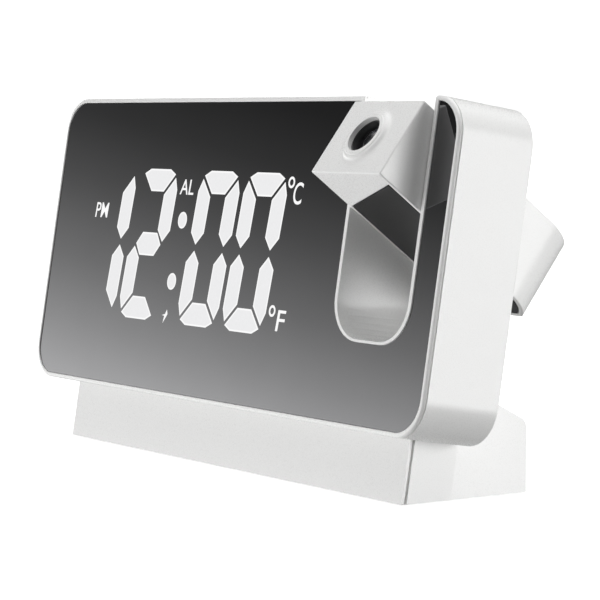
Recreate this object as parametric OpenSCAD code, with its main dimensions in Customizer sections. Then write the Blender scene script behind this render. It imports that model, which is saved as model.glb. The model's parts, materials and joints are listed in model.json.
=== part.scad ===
// Projection alarm clock: leaning mirror-fronted housing on a low foot, with a turning projector arm
// in an open slot at its right end. +X is to the right seen from the front, -Y is the front, +Z is up.
// The origin is the centre of the footprint, on the surface that the clock stands on.

/* [Housing] */
// Width of the housing
housing_w = 185; // [170:1:210]
// Height of the housing along its leaning front
housing_h = 78.6; // [76:0.2:90]
// Depth of the housing, square to its front
housing_d = 21.6; // [21.4:0.2:26]
// Angle by which the housing leans back
lean = 9.5; // [4:0.5:14]
// Radius of the housing's corners
corner_r = 9.5; // [6:0.5:12]
// Wall of the moulded shells
wall = 2; // [1.6:0.1:2.4]
// Width of the white rim round the mirror
rim = 1.2; // [0.8:0.1:2]
// Depth of the front bezel, from the front to the parting line
bezel_d = 3.4; // [3.2:0.1:4]
// Length of the bezel's skirt inside the rear housing
skirt_l = 2; // [1:0.1:2.4]
// Thickness of the bezel's skirt
skirt_t = 1.4; // [1:0.1:1.8]
// Width of the shadow groove round the bezel
groove_w = 0.4; // [0.2:0.1:0.6]
// Depth of the shadow groove
groove_d = 0.4; // [0.2:0.1:0.6]
// Distance of the shadow groove behind the front
groove_y = 0.7; // [0.5:0.1:1]

/* [Mirror panel] */
// Thickness of the mirror panel
mirror_t = 1.5; // [1:0.1:1.5]
// How far the mirror lies behind the rim
mirror_recess = 0.3; // [0.1:0.1:0.3]
// Gap all round a panel in its pocket
panel_gap = 0.1; // [0.05:0.05:0.2]

/* [Slot] */
// Width of the strip right of the slot
strip_w = 10.2; // [10:0.1:14]
// Width of the slot
slot_w = 29.4; // [28.6:0.1:31]
// Radius of the slot's two lower corners
slot_r = 10.4; // [8:0.2:11]
// Thickness of the slot's own walls
liner_t = 1.6; // [1.2:0.1:1.8]

/* [Projector arm] */
// Height of the pivot up the housing's front
pivot_h = 58.1; // [54:0.2:60]
// Gap between the arm and the slot, on each side
side_gap = 0.8; // [0.6:0.1:1.2]
// Thickness of the arm
arm_t = 20.8; // [20:0.1:21.2]
// Radius of the tail end about the pivot
arm_tail_r = 38.2; // [34:0.2:39]
// Radius of the tail's corners seen from the front
arm_corner_r = 12.2; // [11.6:0.1:12.4]
// Running gap between the tail end and the slot's floor
tail_gap = 0.5; // [0.3:0.1:1]
// Angle by which the arm stands forward of its closed place
arm_angle = 62; // [0:1:90]
// Wall of the arm's shell
arm_wall = 1.6; // [1.2:0.1:1.8]
// White border round the arm's mirror
arm_border = 1.3; // [0.9:0.1:2]
// Thickness of the arm's mirror
arm_mirror_t = 1.2; // [0.8:0.1:1.2]
// Ledge that carries the arm's mirror
arm_ledge = 1; // [0.6:0.1:1.4]
// Radius of the pivot shafts
shaft_r = 3; // [2.4:0.1:3.4]
// Bore radius of the hollow left shaft
shaft_bore_r = 1.8; // [1.6:0.1:2]
// Length of a shaft past the slot's wall
shaft_end = 1.8; // [1.4:0.1:2.4]
// Running clearance of the shafts in their bushes
shaft_gap = 0.05; // [0.02:0.01:0.1]
// Wall of a bush round its shaft
bush_t = 1.4; // [1:0.1:2]
// Radius of a bush's flange
bush_flange_r = 6; // [5.4:0.1:6.4]
// Thickness of a bush's flange
bush_flange_t = 1.2; // [0.8:0.1:1.4]
// Outer radius of a friction washer
washer_r = 6; // [5:0.1:7]
// Thickness of a friction washer
washer_t = 0.6; // [0.4:0.1:0.8]
// Lower edge of the white cap above the arm's mirror, at its left side
cap_left = 6.2; // [2:0.1:12]
// The same edge at its right side
cap_right = 16.5; // [12:0.1:18]

/* [Projector optics] */
// Radius of the lens opening
lens_hole_r = 4.85; // [4:0.05:5.2]
// Foot radius of the raised ring round the lens
boss_r = 7.2; // [6.6:0.1:8]
// Crest radius of the raised ring
boss_crest_r = 5.7; // [5.4:0.1:6]
// Height of the raised ring
boss_h = 1.1; // [0.6:0.1:1.6]
// How far the barrel lies behind the ring's crest
barrel_recess = 0.5; // [0.3:0.1:1]
// Length of the focusing barrel
barrel_l = 12.5; // [10:0.1:13]
// Wall of the focusing barrel
barrel_t = 0.9; // [0.7:0.1:1.1]
// Running gap round the barrel
barrel_gap = 0.09; // [0.05:0.01:0.1]
// Number of grip notches in the barrel's front edge
barrel_notches = 12; // [6:1:16]
// Radius of curvature of the front lens
lens_ball_r = 8; // [6:0.1:12]
// Outer radius of the optic tube
tube_r = 8; // [7.4:0.1:8.2]
// Wall of the optic tube
tube_t = 1.5; // [1.2:0.1:1.8]
// Distance of the lamp behind the focusing barrel
lamp_l = 21.6; // [20:0.1:24]
// Thickness of the circuit boards
board_t = 1.6; // [1.2:0.1:1.6]

/* [Stand] */
// Width of the stand
stand_w = 158; // [140:1:168]
// Depth of the stand's footprint
stand_d = 36.4; // [34:0.2:46]
// Distance of the housing's lower front edge in front of the stand
overhang = 5.06; // [3:0.02:7]
// Height of the housing's lower front edge
front_z = 16.85; // [15:0.05:24]
// Height of the foot's rear edge
foot_h = 16.9; // [13:0.1:18]
// Radius along the foot's rear edge
foot_r = 3; // [1.5:0.1:4]
// Slope of the foot's top
foot_slope = 28; // [20:1:34]
// Angle by which the foot's rear wall leans back
foot_lean = 3; // [0:0.5:5]
// Draft of the foot's two ends
foot_draft = 3; // [1:0.5:5]
// How far the rubber feet stand below the stand
feet_proud = 0.4; // [0.3:0.1:1]
// Depth to which the feet are let into the bottom plate
feet_let_in = 0.8; // [0.5:0.1:1]
// Radius of a rubber foot
feet_r = 5; // [4:0.1:6]
// Distance of the feet from the middle, along the stand
feet_x = 68; // [50:1:70]
// Distance of the feet from the middle, front to back
feet_y = 8; // [6:0.1:9]
// Thickness of the bottom plate
plate_t = 1.6; // [1.4:0.1:2]

/* [Display] */
// Height of a figure
digit_h = 40.3; // [34:0.1:42]
// Width of a figure
digit_w = 20; // [17:0.1:20.4]
// Width of a segment
seg_w = 6.3; // [4:0.1:6.6]
// Gap between two segments
seg_gap = 0.5; // [0.4:0.1:1]
// Slant of the figures
digit_slant = 4.5; // [0:0.5:8]
// Middle of the figures, up the front
digit_mid = 39.35; // [38:0.05:41]
// Distance between two figures of a pair
digit_pitch = 21.9; // [21:0.1:22.4]
// Distance between the figures on each side of the colon
colon_pitch = 30.8; // [29:0.1:31]
// Middle of the colon, from the light box's left side
colon_left = 52.7; // [51:0.1:54]
// Radius of a colon dot
colon_r = 2.2; // [1.4:0.1:2.6]
// Height of a colon dot above or below the middle
colon_rise = 8.1; // [6:0.1:12]
// How far the colon lies below the figures' middle line
colon_drop = 1.2; // [0:0.1:2]
// Thickness of the diffuser plates
diffuser_t = 0.6; // [0.4:0.1:1]
// Distance of the light box from the housing's left end
lightbox_inset = 16.5; // [15:0.1:17]
// Width of the light box when the figures have their full width
lightbox_w = 112.5; // [110:0.5:116]
// Width kept free between the light box and the slot, for screw posts
post_space = 14.8; // [12:0.1:16]
// Lower side of the light box
lightbox_low = 14.5; // [13:0.5:16]
// Upper side of the light box
lightbox_high = 64.5; // [63:0.5:66]
// Depth of the light box
lightbox_d = 7.1; // [6:0.1:7.4]

/* [Controls] */
// Length of the snooze bar
bar_l = 60; // [40:1:80]
// Width of the snooze bar
bar_w = 7; // [5:0.1:7.4]
// How far the snooze bar stands proud
bar_proud = 0.5; // [0.3:0.1:1]
// Travel of the snooze bar
bar_travel = 0.8; // [0.4:0.1:0.8]
// Middle of the snooze bar, from the housing's left end
bar_left = 72.5; // [60:0.5:90]
// Radius of a rear key
key_r = 3.5; // [2.8:0.1:4]
// How far a rear key stands proud
key_proud = 0.9; // [0.6:0.1:1.4]
// Travel of a rear key
key_travel = 0.5; // [0.3:0.1:0.5]
// Distance between two rear keys
key_pitch = 14; // [11:0.5:15]
// Height of the rear keys
key_z = 58; // [57:0.5:60]
// Gap round a key or bar in its hole
key_gap = 0.2; // [0.1:0.05:0.3]
// Radius of the power port
port_r = 4.2; // [3.6:0.1:4.4]
// Height of the power port
port_z = 24; // [20:0.5:30]

/* [Electronics] */
// Width and length of the power inlet
jack_w = 9; // [8:0.5:10]
jack_l = 10; // [8:0.5:11]
// Radius and thickness of the back-up cell
cell_r = 10; // [8:0.5:10]
cell_t = 3.2; // [2:0.1:3.6]
// Height of the cell's middle
cell_z = 40; // [36:1:42]
// Radius of the buzzer
buzzer_r = 6; // [4:0.5:7]
// Height of the buzzer's middle
buzzer_z = 32; // [24:1:36]
// Side and thickness of the clock chip
chip_w = 12; // [8:0.5:14]
chip_t = 1.4; // [1:0.1:2]
// Height of the chip's lower side
chip_z = 28; // [20:1:34]
// Length and height of the header between the boards
header_l = 20; // [12:1:24]
header_h = 2.6; // [2:0.1:3]
// Height of the header's lower side
header_z = 38; // [34:1:44]
// Side of a switch's body
switch_body = 6; // [4.5:0.5:7]
// Head radius and core radius of the small board screws
small_head_r = 1.7; // [1.4:0.1:2]
board_screw_r = 0.9; // [0.8:0.1:1.1]

/* [Hidden] */

$fn = 96;
over = 1;                       // how far a cutting tool runs past a face
hair = 0.02;                    // clearance of two round faces that are fixed together
seat = 0.05;                    // clearance of two flat faces that are fixed together
drop = 0.4;                     // how far a U outline reaches below the round end that trims it

white_abs = "#f2f2f0";
mirror_black = "#26272a";
black_plastic = "#1b1c1e";
grey_rubber = "#5b5d60";
board_green = "#2f6b45";
steel = "#b9bcc0";
diffuser_white = "#e8ecf2";

left_end = -housing_w / 2;
slot_x = housing_w / 2 - strip_w - slot_w / 2;
slot_left = slot_x - slot_w / 2 - liner_t;
arm_w = slot_w - 2 * side_gap;
pivot_y = arm_t / 2;            // the arm's front is flush with the housing's front
arm_head = housing_h - pivot_h; // and its lens end is flush with the top
slot_floor_r = arm_tail_r + tail_gap;
slot_lip_z = pivot_h - sqrt(pow(slot_floor_r, 2) - pow(pivot_y, 2));
arm_tip_z = -sqrt(pow(arm_tail_r, 2) - pow(arm_t / 2, 2));
mirror_back = mirror_recess + mirror_t;
inner_back = housing_d - wall;  // the rear wall's inner face

stand_z = feet_proud;
stand_front = -stand_d / 2;
stand_back = stand_d / 2;
front_y = stand_front - overhang;
stand_screw_xs = [-60, 0, 60];
stand_screw_y = 13.4;
plate_post_xs = [-40, 40];
plate_post_ys = [stand_front + 9.4, stand_back - 8.4];
plate_post_r = 3;
plate_seat = 0.9;               // depth of the plate screws' seats

post_r = 3;                     // case screw posts
post_end = 14;
case_screw_r = 1.2;
case_head_r = 2.3;
case_head_t = 1.6;
case_seat = inner_back - 2;
small_head_t = 1.1;
strip_x = housing_w / 2 - (strip_w - liner_t + wall) / 2;
side_post_x = housing_w / 2 - wall - post_r - 1.5;
low_post_z = corner_r - 1.1;                // clear of the round corners of the shell
high_post_z = housing_h - low_post_z;
strip_post_z = pivot_h - bush_flange_r - post_r - 3;    // under the right bush
// The figures and boards widen and narrow with the room left of the slot
lightbox_left = left_end + lightbox_inset;
lightbox_right = slot_left - post_space;
fill = (lightbox_right - lightbox_left) / lightbox_w;
mid_post_x = slot_left - post_space / 2;
lightbox_front = mirror_back + seat;
display_y = lightbox_front + lightbox_d;    // front face of the display board
case_posts = [
    [-side_post_x, low_post_z], [-side_post_x, high_post_z], [mid_post_x, low_post_z],
    [mid_post_x, high_post_z], [strip_x, low_post_z], [strip_x, strip_post_z]
];
display_over = 6.7;                         // board height past the light box, for its screws
display_post_r = 2.2;
display_post_xs = [lightbox_left + 14, lightbox_right - 16];
display_post_zs = [lightbox_low - 4, lightbox_high + 4];

key_flange_t = 0.8;
key_flange_r = key_r + 0.8;
key_floor = inner_back - seat - key_flange_t;
switch_gap = 0.1;
switch_top = key_floor - key_travel - switch_gap;
plunger_r = 1.6;
plunger_l = 0.6;
main_back = inner_back - 4.8;               // rear face of the main board
main_y = main_back - board_t;
main_left = lightbox_left - 1.4;
main_right = lightbox_right + 1.5;
main_w = main_right - main_left;
main_low = 16;
main_high = 70;
board_post_r = 2.6;
board_posts = [
    [main_left + 6, main_low + 4], [main_left + 6, main_high - 4], [main_right - 5, main_low + 4],
    [main_right - 5, main_high - 4]
];
first_key_x = main_left + main_w * 0.1855;

jack_x = main_left - jack_w / 2 - panel_gap;
jack_y = inner_back - 0.3;
jack_bore_r = 2.85;
jack_pin_r = 1;
buzzer_x = main_left + main_w * 0.255;
header_x = main_left + main_w * 0.272;
chip_x = main_left + main_w * 0.4455;
cell_x = main_right - 2 * cell_r;
cell_well = 2 * cell_r + 1;
door_t = 1.4;
well_floor = housing_d - door_t - cell_t - 0.7;
well_wall = 1.2;
door_w = cell_well + 2 * well_wall;
door_seat = housing_d - 0.8;               // under the head of the door's screw
door_screw_z = cell_z - cell_well / 2 - 6;

bar_x = left_end + bar_left;
bar_y = 14;
bar_flange_t = 1;
bar_flange_over = 1.2;
bar_floor = housing_h - wall - seat - bar_flange_t;
bar_switch_top = bar_floor - bar_travel - switch_gap;

arm_in_x = arm_w / 2 - arm_wall;            // inner face of an arm side wall
shaft_in = arm_in_x - 2;
shaft_out = slot_w / 2 + liner_t + shaft_end;
bush_r = shaft_r + shaft_gap + bush_t;
crest_z = arm_head + boss_h;
barrel_r = lens_hole_r - barrel_gap;
barrel_front = crest_z - barrel_recess;
barrel_back = barrel_front - barrel_l;
lens_r = barrel_r - barrel_t;
lens_z = barrel_front - 4;
optic_bore = tube_r - tube_t;
tube_tail = lamp_l - barrel_back;           // length of the optic tube below the pivot
slide_z = barrel_back - 7.6;
condenser_z = slide_z - 5;
ear_y = arm_t / 2 - arm_wall - 1.6;
ear_t = 1.6;
ear_x = arm_in_x - 2.7;
ear_z = 3 - tube_tail;
case_hole_r = case_screw_r + 0.05;

// ---- small helpers -------------------------------------------------------------------------

// A flat outline in X and Z, as a slab from y0 to y1
module slab(y0, y1) {
    translate([0, y1, 0]) rotate([90, 0, 0]) linear_extrude(y1 - y0) children();
}

// The housing's own leaning frame: X across, Y into the depth, Z up the front
module leaning() {
    translate([0, front_y, front_z]) rotate([-lean, 0, 0]) children();
}

// The arm's frame: origin on the pivot, +Z to the lens, -Y its mirror side
module arm_frame() {
    leaning() translate([slot_x, pivot_y, pivot_h]) rotate([arm_angle, 0, 0]) children();
}

// A rod along Y from y0 to y1 at x, z
module rod_y(x, z, r, y0, y1) {
    translate([x, y1, z]) rotate([90, 0, 0]) cylinder(r = r, h = y1 - y0);
}

// A rod along X from x0 to x1 at y, z
module rod_x(x0, x1, r, y = 0, z = 0) {
    translate([x0, y, z]) rotate([0, 90, 0]) cylinder(r = r, h = x1 - x0);
}

// A box from its lowest to its highest corner
module block(low, high) {
    translate(low) cube(high - low);
}

// A rectangle with round corners, centred in x, its lower side at z0
module round_rect(w, z0, z1, r) {
    translate([-w / 2 + r, z0]) square([w - 2 * r, z1 - z0]);
    translate([-w / 2, z0 + r]) square([w, z1 - z0 - 2 * r]);
    for (x = [-w / 2 + r, w / 2 - r], z = [z0 + r, z1 - r]) translate([x, z]) circle(r);
}

// A U, round at its two lower corners and open-ended at z1
module u_outline(w, z0, z1, r) {
    translate([-w / 2 + r, z0]) square([w - 2 * r, z1 - z0]);
    translate([-w / 2, z0 + r]) square([w, z1 - z0 - r]);
    for (x = [-w / 2 + r, w / 2 - r]) translate([x, z0 + r]) circle(r);
}

// The housing's front outline, taken in by inset
module housing_outline(inset = 0) {
    round_rect(housing_w - 2 * inset, inset, housing_h - inset, corner_r - inset);
}

// The slot's U, made larger by grow
module slot_outline(grow = 0) {
    translate([slot_x, 0])
        u_outline(slot_w + 2 * grow, pivot_h - slot_floor_r - drop - grow, 2 * housing_h, slot_r + grow);
}

// The slot where it meets the front face, made larger by grow
module slot_mouth(grow = 0) {
    intersection() {
        slot_outline(grow);
        translate([0, slot_lip_z - grow]) square([housing_w, housing_h * 2]);
    }
}

// The slot as a solid: a U whose floor is hollowed about the pivot, so that the tail can swing by
module slot_void(grow, y0, y1) {
    intersection() {
        slab(y0, y1) slot_outline(grow);
        union() {
            rod_x(0, housing_w, slot_floor_r + grow, pivot_y, pivot_h);
            block([0, y0, pivot_h], [housing_w, y1, housing_h * 2]);
        }
    }
}

// A screw along -Z: the head's seat is at 0, the head above it
module screw(head_r, head_t, r, l) {
    difference() {
        cylinder(r = head_r, h = head_t);
        translate([0, 0, head_t / 2]) {
            cube([head_r * 1.2, 0.5, head_t + hair], center = true);
            cube([0.5, head_r * 1.2, head_t + hair], center = true);
        }
    }
    translate([0, 0, -l]) cylinder(r = r, h = l);
}

// ---- casing --------------------------------------------------------------------------------

module front_bezel() {
    color(white_abs) leaning() difference() {
        union() {
            difference() {
                slab(0, bezel_d) housing_outline();
                slab(groove_y, groove_y + groove_w) difference() {
                    housing_outline(-over);
                    housing_outline(groove_d);
                }
            }
            difference() {
                slab(bezel_d - hair, bezel_d + skirt_l) difference() {
                    housing_outline(wall + panel_gap);
                    housing_outline(wall + panel_gap + skirt_t);
                }
                slot_void(liner_t + panel_gap, 0, housing_d);
            }
            for (p = case_posts) rod_y(p[0], p[1], post_r, bezel_d - hair, post_end);
            for (x = display_post_xs, z = display_post_zs)
                rod_y(x, z, display_post_r, bezel_d - hair, display_y);
        }
        slab(-over, mirror_back) difference() {
            housing_outline(rim);
            slot_mouth(rim);
        }
        slot_void(0, -over, housing_d);
        block([lightbox_left - panel_gap, 0, lightbox_low - panel_gap],
              [lightbox_right + panel_gap, bezel_d + over, lightbox_high + panel_gap]);
        for (p = case_posts) rod_y(p[0], p[1], case_hole_r, bezel_d + over, post_end + over);
        for (x = display_post_xs, z = display_post_zs)
            rod_y(x, z, board_screw_r + hair, bezel_d, display_y + over);
    }
}

module mirror_panel() {
    color(mirror_black) leaning()
        slab(mirror_recess, mirror_back) difference() {
            housing_outline(rim + panel_gap);
            slot_mouth(rim + panel_gap);
        }
}

// Bore and counterbore of every case screw, through the rear wall and its tube
module case_screw_holes() {
    for (p = case_posts) {
        rod_y(p[0], p[1], case_screw_r + 0.3, post_end - over, housing_d);
        rod_y(p[0], p[1], case_head_r + 0.2, case_seat, housing_d + over);
    }
}

// Sound holes: one in the middle and a ring of six
module sound_holes() {
    rod_y(buzzer_x, buzzer_z, 0.8, inner_back - over, housing_d + over);
    for (a = [0 : 60 : 300])
        rod_y(buzzer_x + 3 * cos(a), buzzer_z + 3 * sin(a), 0.8, inner_back - over, housing_d + over);
}

module rear_housing() {
    color(white_abs) leaning() difference() {
        union() {
            difference() {
                slab(bezel_d, housing_d) housing_outline();
                slab(bezel_d - over, inner_back) housing_outline(wall);
            }
            intersection() {
                slot_void(liner_t, bezel_d, housing_d);
                slab(bezel_d, housing_d) housing_outline();
            }
            for (p = case_posts) rod_y(p[0], p[1], post_r + 0.4, post_end, inner_back + hair);
            for (p = board_posts) rod_y(p[0], p[1], board_post_r, main_back, inner_back + hair);
            for (x = stand_screw_xs) translate([x, stand_screw_y, 0]) cylinder(r = post_r, h = 7.4);
            block([cell_x - cell_well / 2 - well_wall, well_floor - well_wall, cell_z - cell_well / 2 - well_wall],
                  [cell_x + cell_well / 2 + well_wall, inner_back + hair, cell_z + cell_well / 2 + well_wall]);
            rod_y(cell_x, door_screw_z, 2.4, inner_back - 3.2, inner_back + hair);
        }
        slot_void(0, -over, housing_d + over);
        rod_x(slot_x - slot_w, slot_x + slot_w / 2 + liner_t + over, bush_r + hair, pivot_y, pivot_h);
        case_screw_holes();
        sound_holes();
        for (p = board_posts) rod_y(p[0], p[1], board_screw_r + hair, main_back - over, inner_back - hair);
        for (x = stand_screw_xs) translate([x, stand_screw_y, -over]) cylinder(r = case_hole_r, h = 7.8);
        for (i = [0 : 4]) rod_y(key_x(i), key_z, key_r + key_gap, inner_back - over, housing_d + over);
        rod_y(jack_x, port_z, port_r, inner_back - over, housing_d + over);
        // battery well, with the step for its door and the door's screw ear
        block([cell_x - cell_well / 2, well_floor, cell_z - cell_well / 2],
              [cell_x + cell_well / 2, housing_d + over, cell_z + cell_well / 2]);
        slab(housing_d - door_t, housing_d + over) door_outline(panel_gap);
        rod_y(cell_x, door_screw_z, board_screw_r + hair, inner_back - 2.6, housing_d);
        // hole for the snooze bar
        translate([bar_x, bar_y, housing_h - wall - over])
            linear_extrude(wall + 2 * over) stadium(bar_l + 2 * key_gap, bar_w + 2 * key_gap);
    }
}

// Outline of the battery door with its screw ear, made larger by grow
module door_outline(grow = 0) {
    w = door_w + 2 * grow;
    translate([cell_x - w / 2, cell_z - w / 2]) square(w);
    translate([cell_x - 4 - grow, door_screw_z]) square([8 + 2 * grow, cell_z - door_screw_z]);
    translate([cell_x, door_screw_z]) circle(4 + grow);
}

module battery_door() {
    color(white_abs) leaning() difference() {
        slab(housing_d - door_t + seat, housing_d) door_outline();
        rod_y(cell_x, door_screw_z, board_screw_r + 0.2, 0, housing_d + over);
        rod_y(cell_x, door_screw_z, 2, door_seat, housing_d + over);
        // finger groove
        block([cell_x - 6, housing_d - 0.6, cell_z + door_w / 2 - 3.4],
              [cell_x + 6, housing_d + over, cell_z + door_w / 2 - 2]);
    }
}

module door_screw() {
    color(steel) leaning() translate([cell_x, door_seat, door_screw_z]) rotate([-90, 0, 0])
        screw(1.8, 0.7, board_screw_r, 3.2);
}

module case_screws() {
    color(steel) leaning() for (p = case_posts)
        translate([p[0], case_seat, p[1]]) rotate([-90, 0, 0])
            screw(case_head_r, case_head_t, case_screw_r, case_seat - bezel_d - 2.6);
}

// ---- stand ---------------------------------------------------------------------------------

// Where the line through p along d meets the line through q along e, in Y and Z
function meet(p, d, q, e) =
    p + d * (((q[0] - p[0]) * e[1] - (q[1] - p[1]) * e[0]) / (d[0] * e[1] - d[1] * e[0]));

level = [1, 0];
up_front = [sin(lean), cos(lean)];          // up the housing's front
into_depth = [cos(lean), -sin(lean)];       // straight back into its depth
down_slope = [cos(foot_slope), -sin(foot_slope)];
up_rear = [sin(foot_lean), cos(foot_lean)];
foot_corner = meet([stand_back, stand_z], up_rear, [0, stand_z + foot_h], level);
neck_y = overhang * cos(lean) + (front_z - stand_z) * sin(lean);   // stand's front, in the housing's depth

// The stand's side outline, each wall but the lower one moved in by inset
function stand_profile(inset) =
    let (floor = [0, stand_z],
         front = [stand_front, stand_z] + into_depth * inset,
         neck = [front_y, front_z] - up_front * inset,
         back = [front_y, front_z] + into_depth * (housing_d + inset),
         slope = foot_corner + [down_slope[1], -down_slope[0]] * inset,
         rear = [stand_back, stand_z] + [-up_rear[1], up_rear[0]] * inset)
    [
        meet(front, up_front, floor, level),
        meet(front, up_front, neck, into_depth),
        meet(neck, into_depth, back, up_front),
        meet(back, up_front, slope, down_slope),
        meet(slope, down_slope, rear, up_rear),
        meet(rear, up_rear, floor, level)
    ];

// The same outline with its rear edge rounded
module stand_outline() {
    p = stand_profile(0);
    half = (90 + foot_slope - foot_lean) / 2;           // half the angle between slope and rear wall
    run = foot_r / tan(half);
    centre = foot_corner - down_slope * run + [down_slope[1], -down_slope[0]] * foot_r;
    polygon([p[0], p[1], p[2], p[3], foot_corner - down_slope * run, centre,
             foot_corner - up_rear * run, p[5]]);
    translate(centre) circle(foot_r);
}

// A flat outline in Y and Z, as a bar along X
module across(w) {
    translate([-w / 2, 0, 0]) rotate([90, 0, 90]) linear_extrude(w) children();
}

// The stand as a solid: a neck as deep as the housing, and a foot whose ends lean in
module stand_body() {
    difference() {
        across(stand_w) stand_outline();
        for (s = [0, 1]) mirror([s, 0, 0]) intersection() {
            translate([stand_w / 2, 0, stand_z]) rotate([0, -foot_draft, 0])
                block([0, -stand_d, -stand_d], [stand_d, stand_d, 2 * stand_d]);
            leaning() block([0, housing_d, -housing_h], [housing_w, 2 * housing_w, housing_h]);
        }
    }
}

// The front cover of the stand's neck, with the shadow groove round its ends
module stand_front() {
    color(white_abs) difference() {
        intersection() {
            stand_body();
            leaning() block([-stand_w, 0, -housing_h], [stand_w, neck_y + wall, over]);
        }
        leaning() for (s = [0, 1]) mirror([s, 0, 0])
            block([stand_w / 2 - groove_d, neck_y + groove_y, -housing_h],
                  [stand_w, neck_y + groove_y + groove_w, over]);
    }
}

module stand_shell() {
    inner = stand_profile(wall);
    color(white_abs) difference() {
        union() {
            difference() {
                stand_body();
                leaning() block([-stand_w, 0, -housing_h], [stand_w, neck_y + wall, over]);
                across(stand_w - 2 * wall - 2 * foot_h * tan(foot_draft)) polygon(inner);
                block([-stand_w / 2 + wall, inner[0][0], stand_z - over],
                      [stand_w / 2 - wall, inner[5][0], stand_z + plate_t + seat]);
            }
            intersection() {
                stand_body();
                for (x = plate_post_xs, y = plate_post_ys)
                    translate([x, y, stand_z + plate_t + seat]) cylinder(r = plate_post_r, h = 30);
            }
        }
        leaning() for (x = stand_screw_xs)
            translate([x, stand_screw_y, -wall - over]) cylinder(r = case_screw_r + 0.3, h = wall + 2 * over);
        for (x = plate_post_xs, y = plate_post_ys)
            translate([x, y, stand_z]) cylinder(r = case_hole_r, h = 9);
    }
}

module stand_plate() {
    inner = stand_profile(wall);
    color(white_abs) difference() {
        block([-stand_w / 2 + wall + panel_gap, inner[0][0] + panel_gap + plate_t * tan(lean), stand_z],
              [stand_w / 2 - wall - panel_gap, inner[5][0] - panel_gap, stand_z + plate_t]);
        for (x = [-feet_x, feet_x], y = [-feet_y, feet_y])
            translate([x, y, stand_z - over]) cylinder(r = feet_r + panel_gap, h = over + feet_let_in);
        for (x = plate_post_xs, y = plate_post_ys) translate([x, y, stand_z - over]) {
            cylinder(r = case_screw_r + 0.3, h = plate_t + 2 * over);
            cylinder(r = case_head_r, h = over + plate_seat);
        }
    }
}

module rubber_feet() {
    soft_edge = 0.3;
    color(grey_rubber) for (x = [-feet_x, feet_x], y = [-feet_y, feet_y])
        translate([x, y, 0]) {
            cylinder(r1 = feet_r - soft_edge, r2 = feet_r, h = soft_edge);
            translate([0, 0, soft_edge]) cylinder(r = feet_r, h = feet_proud + feet_let_in - soft_edge);
        }
}

module stand_screws() {
    color(steel) leaning() for (x = stand_screw_xs)
        translate([x, stand_screw_y, -wall]) rotate([180, 0, 0])
            screw(case_head_r, case_head_t, case_screw_r, wall + 6.4);
}

module plate_screws() {
    color(steel) for (x = plate_post_xs, y = plate_post_ys)
        translate([x, y, stand_z + plate_seat]) rotate([180, 0, 0])
            screw(case_head_r - 0.2, 0.8, case_screw_r, 7);
}

// ---- display -------------------------------------------------------------------------------

// A place in the display, from its distance from the light box's left side at full width
function display_x(u) = lightbox_left + u * fill;
first_digit = colon_left - colon_pitch / 2 - digit_pitch;
digit_lefts = [
    first_digit, first_digit + digit_pitch, colon_left + colon_pitch / 2,
    colon_left + colon_pitch / 2 + digit_pitch
];

// The outlines of a figure's segments, about the figure's middle
half_w = digit_w / 2;
half_h = digit_h / 2;
seg_in = half_w - seg_w;                    // inner edge of an upright segment
tip_x = half_w - seg_w / 2;                 // its pointed ends
upright = [
    [half_w - 1.6, half_h - 2.2], [half_w, half_h - 5.4], [half_w, 3.9], [tip_x, 0.8],
    [seg_in, 3.9], [seg_in, half_h - 6.8]
];
cap = [
    [2 - half_w, half_h - 1.3], [4.9 - half_w, half_h], [half_w - 4.9, half_h],
    [half_w - 2, half_h - 1.3], [seg_in - seg_gap, half_h - 6], [seg_gap - seg_in, half_h - 6]
];
middle = [
    [seg_gap - tip_x, 0], [-seg_in, 3.1], [seg_in, 3.1], [tip_x - seg_gap, 0], [seg_in, -3.1],
    [-seg_in, -3.1]
];
// Each segment as its outline and the sides to which it is turned; the first figure has no last one
segments = [
    [cap, 1, 1], [cap, 1, -1], [middle, 1, 1], [upright, 1, 1], [upright, 1, -1], [upright, -1, -1],
    [upright, -1, 1]
];
// Windows for the small signs, as their lowest and highest corners
sign_windows = [
    [[6, 45.8], [13.8, 49.6]], [[49.4, 53.2], [56.6, 56.8]], [[102.4, 52], [109.4, 58.4]],
    [[100.4, 20.8], [108.8, 26.6]], [[49.4, 19.2], [52, 22.4]]
];

// A point at height z above the figures' middle line leans to the right by this much
function slant(z) = z * tan(digit_slant);
function digit_segments(i) = i == 0 ? 5 : 6;
function dot_z(s) = digit_mid - colon_drop + s * colon_rise;
function dot_x(s) = display_x(colon_left + slant(dot_z(s) - digit_mid));

// Every lit outline of the display
module display_outlines() {
    for (i = [0 : 3], k = [0 : digit_segments(i)]) {
        turned = segments[k];
        polygon([for (p = turned[0])
            [display_x(digit_lefts[i] + turned[1] * p[0] + slant(turned[2] * p[1])),
             digit_mid + turned[2] * p[1]]]);
    }
    for (s = [-1, 1]) translate([dot_x(s), dot_z(s)]) circle(colon_r);
    for (w = sign_windows)
        translate([display_x(w[0][0]), w[0][1]]) square([(w[1][0] - w[0][0]) * fill, w[1][1] - w[0][1]]);
}

module light_box() {
    color("white") leaning() difference() {
        block([lightbox_left, lightbox_front, lightbox_low],
              [lightbox_right, display_y - seat, lightbox_high]);
        slab(lightbox_front - over, display_y + over) display_outlines();
    }
}

module segment_diffusers() {
    color(diffuser_white) leaning() intersection() {
        slab(lightbox_front, lightbox_front + diffuser_t) display_outlines();
        block([lightbox_left, 0, lightbox_low], [lightbox_right, housing_d, lightbox_high]);
    }
}

module display_board() {
    color(board_green) leaning() difference() {
        block([lightbox_left + 1, display_y, lightbox_low - display_over],
              [lightbox_right, display_y + board_t, lightbox_high + display_over]);
        for (x = display_post_xs, z = display_post_zs)
            rod_y(x, z, board_screw_r + 0.2, display_y - over, display_y + board_t + over);
    }
}

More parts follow.
